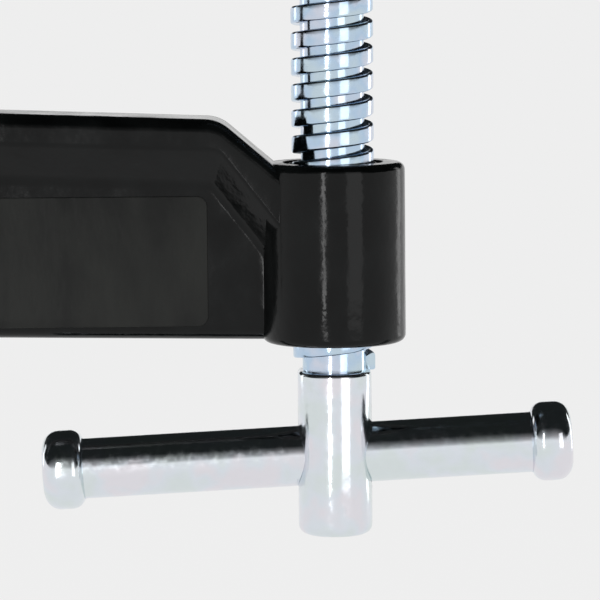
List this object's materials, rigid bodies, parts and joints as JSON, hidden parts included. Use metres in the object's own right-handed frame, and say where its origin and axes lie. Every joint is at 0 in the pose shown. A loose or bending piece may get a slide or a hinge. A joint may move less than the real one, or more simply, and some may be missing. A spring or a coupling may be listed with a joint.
{
  "type": "c clamp",
  "caption": "C clamp: cast T-section frame with a threaded boss, coarse screw, ball-jointed swivel pad and sliding T-bar.",
  "frame": {"origin": "centre of the anvil's working face, on the screw's axis", "axes": "+Z along the screw from its head to the anvil, +X from the spine to the screw, +Y across the frame"},
  "size_m": [0.1799, 0.028, 0.289],
  "materials": {
    "black_paint": "gloss",
    "zinc": "bright zinc plate",
    "spring_steel": "satin"
  },
  "bodies": {
    "frame": {"frame": "black_paint", "boss_thread": "black_paint"},
    "pad_ring": {"pad_ring": "spring_steel"},
    "screw": {"screw": "zinc"},
    "handle": {"handle_bar": "zinc", "handle_knob_left": "zinc", "handle_knob_right": "zinc"},
    "pad": {"swivel_pad": "zinc"}
  },
  "joints": [
    {"name": "screw_feed", "type": "slide", "parent": "frame", "child": "pad_ring", "axis": [0, 0, 1], "range_m": [-0.142, 0.0055]},
    {"name": "screw_turn", "type": "hinge", "parent": "pad_ring", "child": "screw", "pos_m": [0, 0, 0], "axis": [0, 0, 1], "range_deg": [-396, 10224]},
    {"name": "handle_slide", "type": "slide", "parent": "screw", "child": "handle", "axis": [0.9987, 0, 0.0513], "range_m": [-0.03, 0.041]},
    {"name": "pad_tilt", "type": "hinge", "parent": "pad_ring", "child": "pad", "pos_m": [0, 0, -0.01676], "axis": [0, 1, 0], "range_deg": [-10, 10]}
  ],
  "couplings": [
    {"joint": "screw_feed", "follows": "screw_turn", "m_per_rad": -0.00079577}
  ]
}
